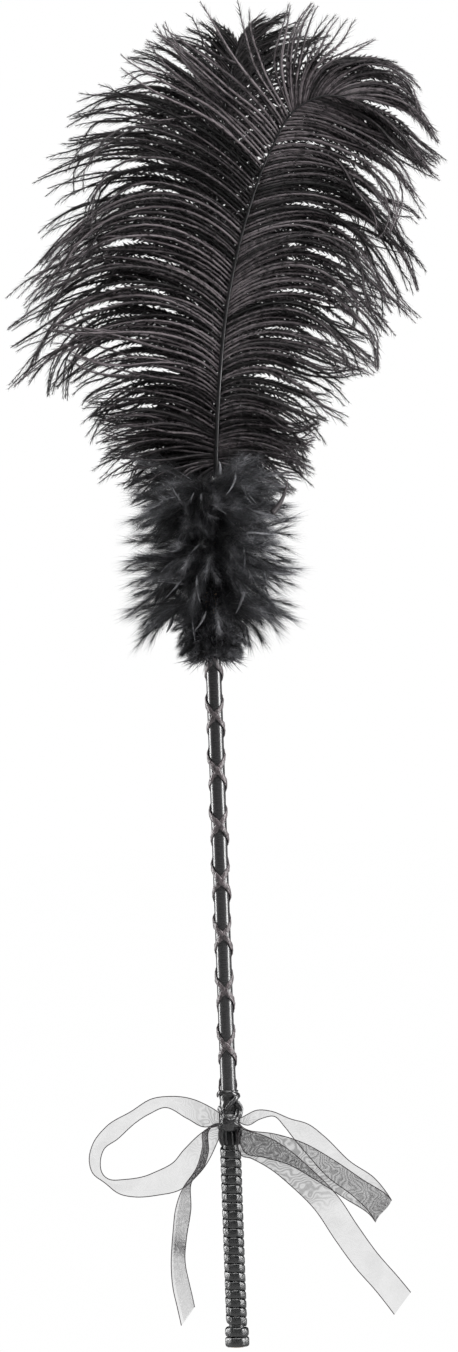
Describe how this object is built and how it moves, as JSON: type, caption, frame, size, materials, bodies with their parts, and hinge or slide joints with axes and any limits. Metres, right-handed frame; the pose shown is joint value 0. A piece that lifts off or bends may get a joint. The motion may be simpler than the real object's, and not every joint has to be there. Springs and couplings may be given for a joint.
{
  "type": "feather duster",
  "caption": "Hand-held duster with black ostrich plumes, a marabou collar, a satin-covered rod with criss-cross lacing, a cord-wound grip and an organza bow.",
  "frame": {"origin": "centre of the rod's butt end face", "axes": "+Z along the rod from butt to plumes, the plumes fan out in the XZ plane, and the front of the duster faces -Y"},
  "size_m": [0.2003, 0.076, 0.598],
  "materials": {
    "wood": "bare turned dowel, end grain showing at the butt",
    "glue": "hot-melt bead",
    "satin": "black satin ribbon, fine cross ribs, soft sheen",
    "organza_cord": "organza ribbon rolled into a narrow strip, dusty brown-black",
    "grip_cord": "black braided satin cord",
    "rim": "glossy black binding cord",
    "organza": "sheer black organza with monofilament edges",
    "quill": "dyed black quill, smooth keratin",
    "thread": "black binding thread",
    "marabou": "black marabou down, cool grey lights",
    "ostrich": "black ostrich barbs, warm grey lights"
  },
  "bodies": {
    "wand": {"accent_feather": "ostrich", "back_quill_stem": "quill", "boa_cord": "thread", "bow_band": "organza", "bow_knot": "organza", "bow_loop_left": "organza", "bow_loop_right": "organza", "bow_tail_left": "organza", "bow_tail_right": "organza", "butt_wraps": "grip_cord", "core_rod": "wood", "down_turn_lower": "marabou", "down_turn_middle": "marabou", "down_turn_upper": "marabou", "front_quill_stem": "quill", "glue_bead": "glue", "grip_cord": "grip_cord", "grip_whipping": "grip_cord", "lace_over": "organza_cord", "lace_under": "organza_cord", "quill_binding": "thread", "rim_ring": "rim", "shaft_sleeve": "satin", "top_wrap": "satin"},
    "plumes": {"front_rachis": "quill", "front_vane_left": "ostrich", "front_vane_right": "ostrich", "back_rachis": "quill", "back_vane_left": "ostrich", "back_vane_right": "ostrich"}
  },
  "joints": [
    {"name": "plume_flex", "type": "hinge", "parent": "wand", "child": "plumes", "pos_m": [0.0024, 0, 0.3879], "axis": [1, 0, 0], "range_deg": [-25, 25], "stiffness_Nm_per_rad": 0.08}
  ]
}
